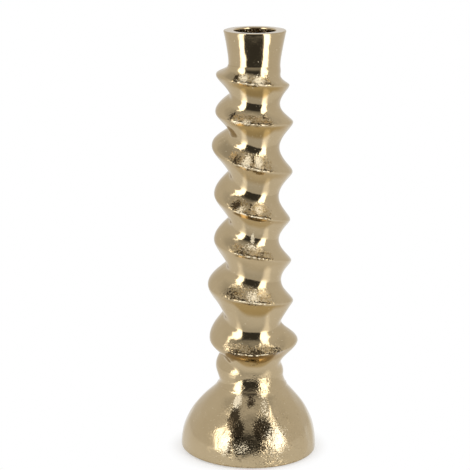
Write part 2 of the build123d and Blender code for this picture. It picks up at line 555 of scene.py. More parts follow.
@dataclass(frozen=True)
class CastGold:
    """Polished gold over a sand casting, rough where the wheel didn't reach."""

    name: str
    bright: Colour = (0.48, 0.38, 0.232)
    deep: Colour = (0.41, 0.315, 0.18)
    # Brown of the grit in raw skin, and of the painted shade under each lip.
    grit_and_painted_shade: Colour = (0.34, 0.22, 0.075)
    # Near-black for the pits, the ragged line at each lip and the painted dark reflection on dark skin.
    grime_and_painted_dark: Colour = (0.035, 0.023, 0.012)
    # Pale of the rubbed lip edge, partly a painted highlight, and of the painted highlight on pale skin.
    worn_and_highlight: Colour = (0.95, 0.84, 0.62)
    tarnish: Cloud = Cloud(14.0, 3.0, 0.35, 0.75)
    tarnish_depth: float = 0.3
    grit: Cloud = Cloud(1.3, 2.0, 0.46, 0.60, 0.7)
    grit_depth: float = 0.7
    grit_and_shade_depth: float = 0.9
    # Speckle of the painted dark reflection on dark skin.
    darkening: Fray = Fray(0.8, 1.5, -1.6, 0.36, 0.66)
    grime_and_painted_dark_depth: float = 0.92
    pitting: Fray = Fray(3.0, 2.0, 0.8, 0.45, 0.75)
    pitting_start: float = 0.2
    pit_spacing: float = 1.0
    pit_rim: Pair = (0.42, 0.16)
    pit_clouds: Cloud = Cloud(2.6, 1.0, 0.45, 0.58)
    line_start: Fray = Fray(1.4, 1.0, 0.6, 0.68, 0.74)
    line_end: Fray = Fray(1.4, 1.0, 0.6, 0.90, 0.84)
    # Pale line along each lip, rubbed and partly a painted highlight.
    lip_wear_and_highlight: Fray = Fray(1.8, 1.0, 0.3, 0.90, 0.97)
    # Speckle of the painted highlight on pale skin.
    pale_highlight: Fray = Fray(0.8, 1.5, 2.0, 0.30, 0.80)
    pale_highlight_depth: float = 0.8
    polish: float = 0.11
    polish_swing: float = 0.06
    raw_polish: float = 0.30
    wear_and_highlight_dulling: float = 0.3
    wear_and_highlight_matting: float = 0.7
    relief: float = 0.2
    coarse_clouds: Cloud = Cloud(7.0, 2.0, 0.42, 0.6)
    coarse_swing: float = 0.8
    grain: Grain = Grain(0.9, 0.5, 1.7, 0.01)
    sand: Grain = Grain(0.5, 1.0, 0.8, 0.006)
    brush: float = 1.2
    brush_length: float = 14.0
    brush_relief: float = 0.07
    pit_relief: float = 0.6
    line_relief: float = 0.5

    def material(self) -> bpy.types.Material:
        """Builds the finish.

        Raw skin gets grain, pits and grit, the skin under a lip painted brown shade, and the lip a rubbed
        pale edge, partly a painted highlight, with a ragged dark line beside it. Dark skin is speckled with
        painted dark reflection, pale skin with painted highlight.

        Returns:
            A metal whose tint, gloss and relief follow the marks on the casting.
        """
        material, sheet = new_sheet(self.name)
        raw, shade, edge, dark, pale = (sheet.mark(mark) for mark in Mark)
        pitted = self.pitting.share(sheet, raw) * raw.between(0.0, self.pitting_start)
        pits = sheet.pits(self.pit_spacing).between(*self.pit_rim) * self.pit_clouds.share(sheet) * pitted
        line = self.line_start.share(sheet, edge) * self.line_end.share(sheet, edge) * pitted
        # Rubbed lip edge, partly a painted highlight, and the painted highlight on pale skin.
        wear_and_highlight = self.lip_wear_and_highlight.share(sheet, edge).most(self.pale_highlight.share(sheet, pale) * self.pale_highlight_depth)
        grit = pitted * self.grit.share(sheet) * self.grit_depth
        # Pits, the ragged line at each lip, and the painted dark reflection on dark skin.
        darkening = pits.most(line).most(self.darkening.share(sheet, dark))
        clean = sheet.mix(self.tarnish.share(sheet) * self.tarnish_depth, self.bright, self.deep)
        # Painted shade under each lip, and brown grit in raw skin.
        gritted_and_shaded = sheet.mix(shade.most(grit) * self.grit_and_shade_depth, clean, self.grit_and_painted_shade)
        dirty_and_darkened = sheet.mix(darkening * self.grime_and_painted_dark_depth, gritted_and_shaded, self.grime_and_painted_dark)
        gloss = (self.tarnish.noise(sheet) - NOISE_MIDDLE) * self.polish_swing + self.polish
        dulling = pitted * (self.raw_polish - self.polish) + wear_and_highlight * self.wear_and_highlight_dulling
        coarse = raw * (self.coarse_clouds.share(sheet) * self.coarse_swing + (1 - self.coarse_swing))
        bumps = self.grain.height(sheet, coarse) + self.sand.height(sheet, coarse)
        brush = sheet.streaks(self.brush, self.brush_length) * self.brush_relief
        height = bumps + brush - pits * self.pit_relief - line * self.line_relief
        sheet.principled({
            "Base Color": sheet.mix(wear_and_highlight, dirty_and_darkened, self.worn_and_highlight),
            "Metallic": 1 - wear_and_highlight * self.wear_and_highlight_matting,
            "Roughness": gloss + dulling,
            "Normal": sheet.bump(height, self.relief),
        })
        return material


@dataclass(frozen=True)
class PlatedSteel:
    """Zinc plate or oiled spring steel on the fixings."""

    name: str
    bright: Colour
    dull: Colour
    polish: float
    clouds: Cloud = Cloud(3.5, 4.0, 0.35, 0.7, 0.6)
    polish_swing: float = 0.2
    grain: float = 0.35
    grain_share: float = 0.6
    relief: float = 0.05

    def material(self) -> bpy.types.Material:
        """Builds the finish.

        Returns:
            A metal with cloudy plating and fine grain.
        """
        material, sheet = new_sheet(self.name)
        cloud = self.clouds.noise(sheet)
        height = sheet.noise(self.grain) * self.grain_share + cloud * (1 - self.grain_share)
        sheet.principled({
            "Base Color": sheet.mix(self.clouds.share(sheet), self.bright, self.dull),
            "Metallic": 1.0,
            "Roughness": cloud * self.polish_swing + self.polish,
            "Normal": sheet.bump(height, self.relief),
        })
        return material


@dataclass(frozen=True)
class Hardboard:
    """Pressed brown board with short fibres."""

    name: str
    pale: Colour = (0.42, 0.29, 0.17)
    dark: Colour = (0.22, 0.13, 0.07)
    fibres: Cloud = Cloud(1.4, 5.0, 0.3, 0.7, 0.7, 1.5)
    fleck: float = 0.5
    fleck_relief: float = 0.5
    polish: float = 0.6
    polish_swing: float = 0.2
    relief: float = 0.2

    def material(self) -> bpy.types.Material:
        """Builds the finish.

        Returns:
            A dull board whose fibres are warped noise.
        """
        material, sheet = new_sheet(self.name)
        fleck = sheet.noise(self.fleck)
        height = self.fibres.noise(sheet) + fleck * self.fleck_relief
        sheet.principled({
            "Base Color": sheet.mix(self.fibres.share(sheet), self.dark, self.pale),
            "Roughness": fleck * self.polish_swing + self.polish,
            "Normal": sheet.bump(height, self.relief),
        })
        return material


@dataclass(frozen=True)
class Felt:
    """Pressed black felt."""

    name: str
    dark: Colour = (0.022, 0.022, 0.024)
    pale: Colour = (0.085, 0.083, 0.08)
    fibres: Cloud = Cloud(0.6, 6.0, 0.35, 0.7, 0.75, 2.5)
    patch: float = 8.0
    patch_share: float = 0.3
    polish: float = 0.86
    polish_swing: float = 0.1
    sheen: float = 0.4
    sheen_roughness: float = 0.5
    relief: float = 0.35

    def material(self) -> bpy.types.Material:
        """Builds the finish.

        Returns:
            A matt cloth of tangled fibres with a little sheen.
        """
        material, sheet = new_sheet(self.name)
        tangle = self.fibres.noise(sheet)
        tone = tangle * (1 - self.patch_share) + sheet.noise(self.patch) * self.patch_share
        sheet.principled({
            "Base Color": sheet.mix(tone.between(self.fibres.low, self.fibres.high), self.dark, self.pale),
            "Roughness": tangle * self.polish_swing + self.polish,
            "Sheen Weight": self.sheen,
            "Sheen Roughness": self.sheen_roughness,
            "Normal": sheet.bump(tangle, self.relief),
        })
        return material


# Castings


@dataclass(frozen=True)
class Patch:
    """A soft patch of darker or paler skin, in degrees round and millimetres up."""

    bearing: float
    height: float
    half_width: float
    half_height: float
    depth: float

    def share(self, bearing: Array, height: Array) -> Array:
        """Bell curve about the patch's middle."""
        across, along = (bearing - self.bearing) / self.half_width, (height - self.height) / self.half_height
        return self.depth * np.exp(-across ** 2 - along ** 2)


def cover(patches: tuple[Patch, ...], bearing: Array, height: Array) -> Array:
    """Mark of several patches.

    Args:
        patches: The patches.
        bearing: Degrees from the right, seen from above.
        height: Heights above the table.

    Returns:
        The largest of the patches' shares.
    """
    turned = np.mod(bearing + 180, 360) - 180
    return np.max([patch.share(turned, height) for patch in patches], axis=0)


@dataclass(frozen=True)
class Throat:
    """Soft swelling at the front and left of the joint between cup and column."""

    swell: float = 1.2
    reach: float = 5.0
    fade: float = 7.0
    facing: Facing = (-100.0, 40.0, 105.0)

    def above(self, bearing: Array, rise: Array) -> Array:
        """Swelling above the joint: it dies away as the exponential of the height over the reach."""
        return self.swell * facing(bearing, *self.facing) * np.exp(-rise / self.reach)

    def below(self, bearing: Array, drop: Array) -> Array:
        """Swelling below the joint: it goes on at the same slope under a bell curve that fades it out."""
        most = self.swell * facing(bearing, *self.facing)
        return most * (1 + drop / self.reach) * np.exp(-(drop / self.fade) ** 2)


@dataclass(frozen=True)
class RidgeCourse:
    """Course of the ridge, turn by turn from the right of the column's top by the back, left and front."""

    back_falls: tuple[float, ...] = (5.5, 15.0, 13.5, 13.0, 11.5, 14.5, 22.5, 16.5)
    left_falls: tuple[float, ...] = (3.5, 4.5, 10.0, 9.0, 6.0, 5.0, 4.0, 5.5)
    front_falls: tuple[float, ...] = (3.0, 2.0, 5.5, 6.5, 7.0, 5.0, -2.5, 5.0)
    left_reaches: tuple[float, ...] = (21.5, 22.5, 24.5, 23.0, 23.0, 26.5, 25.5, 21.5)
    front_reaches: tuple[float, ...] = (20.5, 22.0, 23.0, 22.5, 22.5, 24.5, 25.0, 17.6)
    right_reaches: tuple[float, ...] = (20.0, 22.5, 22.5, 21.5, 22.5, 24.0, 27.0)
    plain_quarters: int = 8

    def heights(self, top: float) -> Array:
        """Height of the ridge after each quarter turn, with plain turns added past both ends.

        Args:
            top: Height of the column's top.

        Returns:
            Heights at the right, back, left and front by turns.
        """
        back = np.array(self.back_falls) / 2
        falls = np.stack([back, back, self.left_falls, self.front_falls], axis=1).ravel()
        spare = np.full(self.plain_quarters, falls.mean())
        return top + spare.sum() - np.concatenate([[0.0], np.cumsum(np.concatenate([spare, falls, spare]))])

    def radii(self, top: float, foot: float) -> Array:
        """Reach of the ridge after each quarter turn, with the plain stem past both ends.

        Args:
            top: Stem radius at the column's top.
            foot: Stem radius at its foot.

        Returns:
            Reaches from the column's middle, those of the back being the means of the right's and the left's.
        """
        right, left = np.array([top, *self.right_reaches]), np.array(self.left_reaches)
        course = np.stack([right, (right + left) / 2, left, self.front_reaches], axis=1).ravel()
        spare = self.plain_quarters
        return np.concatenate([np.full(spare, top), course, np.full(spare + 1, foot)])


@dataclass(frozen=True)
class SpiralColumn:
    """The cast column with its left-handed ridge, sharp to the front right and round to the back left.

    Values that come in eights are for the skin between two turns of the ridge, from the top down.
    """

    course: RidgeCourse
    throat: Throat
    foot_height: float
    top_height: float
    foot_shift: float = 2.2
    top_shift: float = 3.4
    core_shift: float = 2.8
    core_radius: float = 8.0
    stem_radius: float = 14.6
    stem_swell: float = 3.0
    swell_start: float = 100.0
    swell_length: float = 60.0
    flare: float = 2.9
    flare_height: float = 5.0
    hollow_facing: Facing = (-62.0, 75.0, 130.0)
    groove_cut: float = 1.0
    groove_rise: float = 6.0
    groove_rounding: float = 0.45
    undercut: float = 0.10
    front_fill: float = 1.5
    lip_facing: Facing = (-82.0, 26.0, 63.0)
    lip_share: float = 0.15
    lip_power: float = 3.0
    lip_rounding: float = 0.03
    crest_rounding: float = 0.25
    bead_share: float = 0.9
    bead_start: float = 55.0
    bead_length: float = 25.0
    end_blend: float = 5.0
    mark_gain: float = 2.0
    raw_facing: Facing = (-93.0, 18.0, 48.0)
    raw_starts: tuple[float, ...] = (0.60, 0.70, 0.60, 0.63, 0.70, 0.62, 0.74, 0.90)
    raw_blend: float = 0.20
    foot_sand: float = 0.45
    foot_sand_height: float = 14.0
    edge_reach: float = 4.0
    # Painted shade under each lip: where it faces, how far down it reaches and how deep it is on each turn.
    shade_facing: Facing = (-88.0, 4.0, 34.0)
    shade_ends: tuple[float, ...] = (0.20, 0.22, 0.20, 0.20, 0.16, 0.20, 0.16, 0.34)
    shade_depths: tuple[float, ...] = (1.0, 1.0, 1.0, 0.6, 0.75, 0.2, 1.0, 0.9)
    shade_bulge: float = 0.18
    shade_blend: float = 0.12
    shade_gap: float = 0.02
    shade_gap_blend: float = 0.04
    # Painted dark reflection of the room's gap, just above the lips.
    dark_patches: tuple[Patch, ...] = (
        Patch(-122.0, 225.0, 5.0, 3.0, 0.8),
        Patch(-69.0, 225.5, 6.0, 3.0, 0.6),
        Patch(-129.0, 203.5, 6.0, 3.0, 0.7),
        Patch(-72.0, 203.5, 8.0, 2.5, 0.6),
        Patch(-119.0, 179.0, 7.0, 3.0, 0.7),
        Patch(-92.0, 179.0, 1.5, 3.0, 0.9),
        Patch(-120.0, 152.5, 9.0, 2.5, 0.95),
        Patch(-96.0, 151.5, 5.0, 3.0, 0.6),
        Patch(-110.0, 125.5, 14.0, 3.0, 0.5),
        Patch(-76.0, 124.0, 8.0, 3.0, 0.5),
        Patch(-123.0, 100.0, 15.0, 4.0, 0.6),
        Patch(-114.0, 65.5, 14.0, 3.0, 0.7),
        Patch(-86.0, 66.0, 16.0, 3.0, 0.75),
        Patch(-56.0, 66.0, 12.0, 3.0, 0.6),
    )
    # Painted highlight: pale patches in the raw skin above the lips.
    pale_patches: tuple[Patch, ...] = (
        Patch(-109.0, 225.0, 9.0, 2.5, 0.8),
        Patch(-84.0, 224.0, 10.0, 3.0, 0.9),
        Patch(-119.0, 200.5, 8.0, 1.5, 0.8),
        Patch(-104.0, 200.8, 10.0, 1.6, 0.7),
        Patch(-102.0, 178.0, 7.0, 3.5, 1.1),
        Patch(-83.0, 177.5, 7.0, 3.5, 1.1),
        Patch(-111.0, 150.0, 6.0, 2.0, 0.8),
        Patch(-82.0, 149.5, 6.0, 2.5, 0.7),
        Patch(-92.0, 132.0, 4.0, 3.2, 1.3),
        Patch(-96.0, 127.5, 16.0, 2.5, 0.6),
        Patch(-90.0, 99.0, 12.0, 4.0, 0.75),
    )
    wander: Ripple = Ripple(11, 9.0)
    fine_wander: Ripple = Ripple(12, 3.0)
    wander_size: float = 0.05
    fine_share: float = 0.4
    lumps: Ripple = Ripple(13, 11.0)
    lump_relief: float = 0.025
    raw_lumps: Ripple = Ripple(14, 2.2)
    raw_relief: float = 0.02
    end_calm: float = 4.0
    crease: float = 28.0
    rows: int = 372
    bearings: int = 256

    def between_ends(self, height: Array, blend: float) -> Array:
        """Share that eases to zero at the column's foot and top."""
        return ease((height - self.foot_height) / blend) * ease((self.top_height - height) / blend)

    def stem(self, height: Array) -> Array:
        """Radius without the ridge.

        Args:
            height: Heights above the table.

        Returns:
            A plain stem's radius, an eased swell low down and a flare that dies away upwards.
        """
        above = height - self.foot_height
        swell = self.stem_swell * ease((self.swell_start - above) / self.swell_length)
        return self.stem_radius + swell + self.flare * np.exp(-above / self.flare_height)

    def rounded(self, value: Array, corner: Array | float) -> Array:
        """Size of a value between -1 and 1 with the corner at zero rounded off."""
        return (np.hypot(value, corner) - corner) / (np.hypot(1, corner) - corner)

    def locate(self, bearing: Array, height: Array, heights: Array) -> tuple[Array, NDArray[np.int64]]:
        """Finds the turn of the ridge over each point.

        Args:
            bearing: Degrees from the right, seen from above.
            height: Heights above the table.
            heights: Height of the ridge after each quarter turn.

        Returns:
            Quarter turns along the ridge to where it stands over each point, and how many turns were passed.
        """
        first = self.course.plain_quarters - QUARTERS + np.mod(bearing, 360) / 90 + 0 * height
        passed = np.zeros(first.shape, dtype=int)
        for _ in range(len(heights) // QUARTERS - 2):
            passed = passed + (through(heights, first + QUARTERS * passed + QUARTERS) > height)
        return first + QUARTERS * passed, passed

    def marks(self, bearing: Array, height: Array, share: Array, spacing: Array, rise: Array,
              passed: NDArray[np.int64]) -> dict[Mark, Array]:
        """Marks of the raw skin above each lip, of the painted shade below it and of the crests.

        Args:
            bearing: Degrees from the right, seen from above.
            height: Heights above the table.
            share: How far each point lies from the ridge above to the ridge below.
            spacing: Distance between those ridges.
            rise: How far the ridge stands out from the stem.
            passed: Turns of the ridge above each point.

        Returns:
            The marks, each between 0 and 1.
        """
        segment = np.clip(passed, 0, len(self.raw_starts) - 1)
        tables = (self.raw_starts, self.shade_ends, self.shade_depths)
        raw_start, shade_end, depth = (np.array(values)[segment] for values in tables)
        bulge = self.shade_bulge * facing(bearing, *self.shade_facing)
        present = ease(rise / self.groove_rise * self.mark_gain)
        lip = facing(bearing, *self.lip_facing)
        rough = present * facing(bearing, *self.raw_facing)
        gap = np.minimum(share, 1 - share) * spacing
        sand_top = self.foot_height + self.foot_sand_height
        sand = self.foot_sand * lip * ease((sand_top - height) / self.end_blend)
        shade = ease((shade_end + bulge - share) / self.shade_blend)
        clear = ease((share - self.shade_gap) / self.shade_gap_blend)
        return {
            Mark.RAW: np.maximum(ease((share - raw_start) / self.raw_blend) * rough, sand),
            # Painted shade: brown under each lip, deepest at the front.
            Mark.SHADE: shade * clear * (present * lip * depth),
            Mark.EDGE: np.clip(1 - gap / self.edge_reach, 0, 1) * rough,
        }

    def skin(self, bearing: Array, height: Array) -> tuple[Array, dict[Mark, Array]]:
        """Radius of the column over a grid.

        Between the ridge above and the ridge below, the radius falls from the ridge's reach to the stem and
        rises again: as one less the size of a sine where the ridge is sharp, as the size of a cosine where it
        is round.

        Args:
            bearing: Degrees from the right, seen from above.
            height: Heights above the table.

        Returns:
            The radius, and the marks that follow the ridge.
        """
        heights = self.course.heights(self.top_height)
        radii = self.course.radii(self.stem_radius, self.stem_radius + self.stem_swell)
        turn, passed = self.locate(bearing, height, heights)
        above, below = through(heights, turn), through(heights, turn + QUARTERS)
        share = (above - height) / (above - below)
        front = np.maximum(-np.sin(np.radians(bearing)), 0)
        phase = math.pi * (share - self.undercut * front * np.sin(math.pi * share) ** 2)
        bead = self.bead_share * ease((self.bead_start - height + self.foot_height) / self.bead_length)
        lip = facing(bearing, *self.lip_facing)
        hollow = facing(bearing, *self.hollow_facing) * (1 - bead * (1 - lip))
        corner = self.crest_rounding + (self.lip_rounding - self.crest_rounding) * lip
        sharp = 1 - self.rounded(np.sin(phase), corner)
        edge = sharp + self.lip_share * lip * (sharp ** self.lip_power - sharp)
        crest = hollow * edge + (1 - hollow) * self.rounded(np.cos(phase), self.groove_rounding)
        lower = ease(share)
        reach = through(radii, turn) * (1 - lower) + through(radii, turn + QUARTERS) * lower
        plain = self.stem(height)
        stem = plain + self.front_fill * front * ease(np.maximum(reach - plain, 0) / self.groove_rise)
        rise = np.maximum(reach - stem, 0)
        groove = self.groove_cut * (1 - hollow) * np.minimum(rise / self.groove_rise, 1)
        throat = self.throat.below(bearing, self.top_height - height)
        ends = self.between_ends(height, self.end_blend)
        radius = stem + throat + ends * ((rise + groove) * crest - groove)
        return radius, self.marks(bearing, height, share, above - below, rise, passed)

    def build(self) -> bpy.types.Object:
        """Makes the column: the skin down the outside, straight back up the core, closed both ways.

        Returns:
            The piece, with its marks.
        """
        down = np.linspace(self.top_height, self.foot_height, self.rows)[:, None]
        around = 360 * np.arange(self.bearings) / self.bearings
        height, bearing = np.broadcast_arrays(down, around)
        angle = np.radians(bearing)
        share = (height - self.foot_height) / (self.top_height - self.foot_height)
        middle = self.foot_shift + (self.top_shift - self.foot_shift) * share
        stem = ring(0.0, self.stem_radius, angle, height)
        fine = self.fine_share * self.wander_size * self.fine_wander(stem)
        wander = self.wander_size * self.wander(stem) + fine
        ends = self.between_ends(height, self.end_calm)
        placed = np.clip(height + wander * ends, self.foot_height, self.top_height)
        radius, marks = self.skin(bearing, placed)
        # Painted dark reflection, in listed patches.
        marks[Mark.DARK] = cover(self.dark_patches, bearing, height)
        # Painted highlight, in listed patches.
        marks[Mark.PALE] = cover(self.pale_patches, bearing, height)
        lumps = self.lump_relief * self.lumps(stem) + self.raw_relief * marks[Mark.RAW] * self.raw_lumps(stem)
        outer = ring(middle, radius + lumps * ends, angle, height)
        core_height = np.array([[self.foot_height], [self.top_height]])
        core = ring(self.core_shift, self.core_radius, angle[:2], core_height)
        piece = add_skin("column_skin", np.concatenate([outer, core]), self.crease)
        for mark, values in marks.items():
            add_mark(piece, mark, np.concatenate([values, np.zeros(core.shape[:2])]))
        return piece

    def dress(self, piece: bpy.types.Object) -> None:
        """Gives the column its gold."""
        fit_piece(piece, CastGold("column_gold").material(), "spiral_column")


@dataclass(frozen=True)
class CandleCup:
    """The tapered cup with its flat rim, candle hole and tapped spigot."""

    throat: Throat
    foot_height: float
    rim_height: float
    middle: float = 3.4
    spigot_middle: float = 2.8
    foot_radius: float = 14.6
    rim_radius: float = 18.0
    rim_rounding: float = 0.8
    rim_lean: float = 0.8
    taper_power: float = 1.25
    bore_radius: float = 12.0
    bore_depth: float = 15.0
    floor_rounding: float = 0.8
    mouth: float = 0.9
    spigot_radius: float = 7.85
    spigot_length: float = 10.0
    spigot_rounding: float = 0.3
    inner_rounding: float = 0.1
    thread_radius: float = 3.1
    thread_depth: float = 12.0
    spacing: float = 0.6
    wall_slack: float = 1.0
    spigot_slack: float = 0.05
    floor_slack: float = 0.01
    hole_slack: float = 0.1
    lumps: Ripple = Ripple(21, 12.0)
    fine_lumps: Ripple = Ripple(22, 4.0)
    lump_relief: float = 0.03
    fine_share: float = 0.3
    rim_calm: float = 1.5
    foot_calm: float = 3.0
    skin_raw: float = 0.04
    hole_raw: float = 0.10
    # Painted highlight in the candle hole, lighter than its gold would be.
    hole_pale: float = 0.20
    bearings: int = 200

    def outline(self) -> Array:
        """Outline from the rim down the outside, round the spigot and its hole and up the candle hole.

        Returns:
            Points of the outline, radius and height.
        """
        floor = self.rim_height - self.bore_depth
        spigot_end = self.foot_height - self.spigot_length
        blind = spigot_end + self.thread_depth
        return rounded_outline([
            (self.rim_radius, self.rim_height, self.rim_rounding),
            (self.foot_radius, self.foot_height, 0.0),
            (self.spigot_radius, self.foot_height, self.inner_rounding),
            (self.spigot_radius, spigot_end, self.spigot_rounding),
            (self.thread_radius, spigot_end, self.spigot_rounding),
            (self.thread_radius, blind, self.inner_rounding),
            (AXIS_RADIUS, blind, 0.0),
            (AXIS_RADIUS, floor, 0.0),
            (self.bore_radius, floor, self.floor_rounding),
            (self.bore_radius, self.rim_height, self.mouth),
        ], self.spacing)

    def build(self) -> bpy.types.Object:
        """Makes the cup: the outline carried round, with soft hand-polished unevenness outside.

        Returns:
            The piece, with its marks of raw and pale skin.
        """
        outline = self.outline()
        angle = round_angles(self.bearings)
        straight, height = outline[:, :1], outline[:, 1:]
        floor = self.rim_height - self.bore_depth
        inner = (straight < self.spigot_radius + self.spigot_slack) & (height < floor + self.floor_slack)
        middle = np.where(inner, self.spigot_middle, self.middle)
        share = np.clip((height - self.foot_height) / (self.rim_height - self.foot_height), 0, 1)
        bow = (self.rim_radius - self.foot_radius) * (share - share ** self.taper_power)
        throat = self.throat.above(np.degrees(angle), np.maximum(height - self.foot_height, 0))
        wall = straight > self.foot_radius - self.wall_slack
        radius = np.where(wall, straight - bow + throat, straight)
        lean = self.rim_lean * ease(share) * (1 + np.sin(angle)) / 2
        even = ring(middle, radius, angle, height + lean)
        away = ease((radius - self.bore_radius - self.rim_calm) / self.rim_calm)
        outside = away * ease((height - self.foot_height) / self.foot_calm)
        fine = self.fine_share * self.lump_relief * self.fine_lumps(even)
        lumps = self.lump_relief * self.lumps(even) + fine
        piece = add_skin("cup_skin", even + ring_normals(even) * (lumps * outside)[..., None])
        hole = (radius < self.bore_radius + self.hole_slack) & (height > floor - self.hole_slack)
        add_mark(piece, Mark.RAW, np.where(hole, self.hole_raw, self.skin_raw))
        # Painted highlight in the candle hole.
        add_mark(piece, Mark.PALE, np.where(hole, self.hole_pale, 0.0))
        return piece

    def dress(self, piece: bpy.types.Object) -> None:
        """Gives the cup its gold."""
        fit_piece(piece, CastGold("cup_gold").material(), "candle_cup")


@dataclass(frozen=True)
class BellFoot:
    """The hollow bell foot with its neck ledge, spigot and rebate."""

    low: float
    top: float
    foot_radius: float = 40.0
    dome_fall: float = 22.5
    power: float = 2.45
    neck: float = 19.44
    neck_blend: float = 1.9
    shift: float = 2.2
    shift_power: float = 1.5
    oval: float = 1.2
    spigot_shift: float = 2.8
    spigot_radius: float = 7.85
    spigot_length: float = 5.0
    hole_radius: float = 3.3
    crown: float = 9.0
    wall: float = 6.0
    edge: float = 1.5
    rebate_lip: float = 4.0
    rebate_top: float = 3.6
    lumps: Ripple = Ripple(31, 15.0)
    lump_relief: float = 0.06
    front_relief: float = 0.12
    neck_calm: float = 4.0
    edge_calm: float = 3.0
    polish: float = 0.15
    raw_facing: Facing = (-80.0, 28.0, 80.0)
    skin_raw: float = 0.05
    front_raw: float = 0.35
    inside_raw: float = 0.8
    # Painted dark reflection of the room's gap on the bell's front.
    dark_patches: tuple[Patch, ...] = (
        Patch(-108.5, 27.5, 6.5, 6.0, 1.3),
        Patch(-102.5, 22.0, 7.0, 5.5, 1.2),
        Patch(-78.5, 22.5, 9.0, 6.0, 1.3),
        Patch(-91.0, 36.0, 8.0, 3.5, 0.8),
        Patch(-107.5, 12.5, 3.0, 5.0, 1.0),
        Patch(-79.0, 13.5, 6.0, 4.5, 0.6),
        Patch(-78.0, 18.0, 45.0, 25.0, 0.24),
        Patch(-67.0, 20.0, 12.0, 14.0, 0.34),
    )
    # Painted highlight: pale patches where bright strips would show on the bell.
    pale_patches: tuple[Patch, ...] = (
        Patch(-110.5, 36.0, 6.0, 3.5, 1.2),
        Patch(-97.0, 12.5, 9.0, 4.0, 0.6),
        Patch(-112.0, 13.0, 5.0, 6.0, 0.85),
        Patch(-66.0, 17.0, 10.0, 9.0, 0.75),
        Patch(-73.0, 33.0, 6.0, 7.0, 0.5),
    )
    rows: int = 120
    edge_points: int = 8
    hollow_rows: int = 24
    bearings: int = 300

    def dome(self, height: Array) -> Array:
        """Outer radius: a dome that falls with a power of the height, run smoothly into a plain neck."""
        dome = self.foot_radius - self.dome_fall * (height / self.top) ** self.power
        return (dome + self.neck) / 2 + np.hypot((dome - self.neck) / 2, self.neck_blend)

    def runs(self) -> list[Array]:
        """Runs of the outline, which closes on itself.

        Returns:
            Points of the dome, the rounded foot edge, the rebate, the hollow, and the rod hole and spigot, as
            radius and height.
        """
        height = np.linspace(self.top, self.low + self.edge, self.rows)
        dome = np.stack([self.dome(height), height], axis=-1)
        quarter = np.linspace(0, math.pi / 2, self.edge_points)[1:]
        edge_radius = self.dome(np.array(self.low + self.edge)) - self.edge
        edge_height = self.low + self.edge - self.edge * np.sin(quarter)
        edge = np.stack([edge_radius + self.edge * np.cos(quarter), edge_height], axis=-1)
        rebate = self.foot_radius - self.rebate_lip
        below = np.array([[rebate, self.low], [rebate, self.rebate_top]])
        ceiling, spigot_top = self.top - self.crown, self.top + self.spigot_length
        hollow_height = np.linspace(self.rebate_top, ceiling, self.hollow_rows)
        hollow = np.stack([self.dome(hollow_height) - self.wall, hollow_height], axis=-1)
        inside = np.array([[self.hole_radius, ceiling], [self.hole_radius, spigot_top],
                           [self.spigot_radius, spigot_top], [self.spigot_radius, self.top]])
        return [dome, edge, below, hollow, inside]

    def build(self) -> bpy.types.Object:
        """Makes the bell: the outline carried round, slightly oval and leaning, with an uneven skin outside.

        Returns:
            The piece, with its marks of raw skin, of painted dark reflection and of painted highlight.
        """
        angle = round_angles(self.bearings)
        runs = self.runs()
        outline = np.concatenate(runs)
        straight, level = outline[:, :1], outline[:, 1:]
        run = np.repeat(np.arange(len(runs)), [len(points) for points in runs])[:, None]
        dome, shell, rebate, spigot = run == 0, run <= 1, run == 2, run == len(runs) - 1
        leaning = np.where(spigot, self.spigot_shift, self.shift * (level / self.top) ** self.shift_power)
        middle = np.where(rebate, 0.0, leaning)
        radius = straight - shell * self.oval * (1 - level / self.top) * np.sin(2 * angle)
        even = ring(middle, radius, angle, level)
        clear = ease((self.top - level) / self.neck_calm)
        outside = dome * clear * ease((level - self.low - self.edge) / self.edge_calm)
        front = facing(np.degrees(angle), *self.raw_facing)
        lumps = (self.lump_relief + self.front_relief * front) * self.lumps(even)
        piece = add_skin("bell_skin", even + ring_normals(even) * (lumps * outside)[..., None])
        add_mark(piece, Mark.RAW, np.where(dome, self.skin_raw + self.front_raw * front, self.inside_raw))
        # Dark patches are painted dark reflection, pale ones painted highlight.
        for mark, patches in ((Mark.DARK, self.dark_patches), (Mark.PALE, self.pale_patches)):
            add_mark(piece, mark, shell * cover(patches, np.degrees(angle), level))
        return piece

    def dress(self, piece: bpy.types.Object) -> None:
        """Gives the bell its gold."""
        finish = CastGold("bell_gold", polish=self.polish)
        fit_piece(piece, finish.material(), "bell_base")


# Fixings and felt


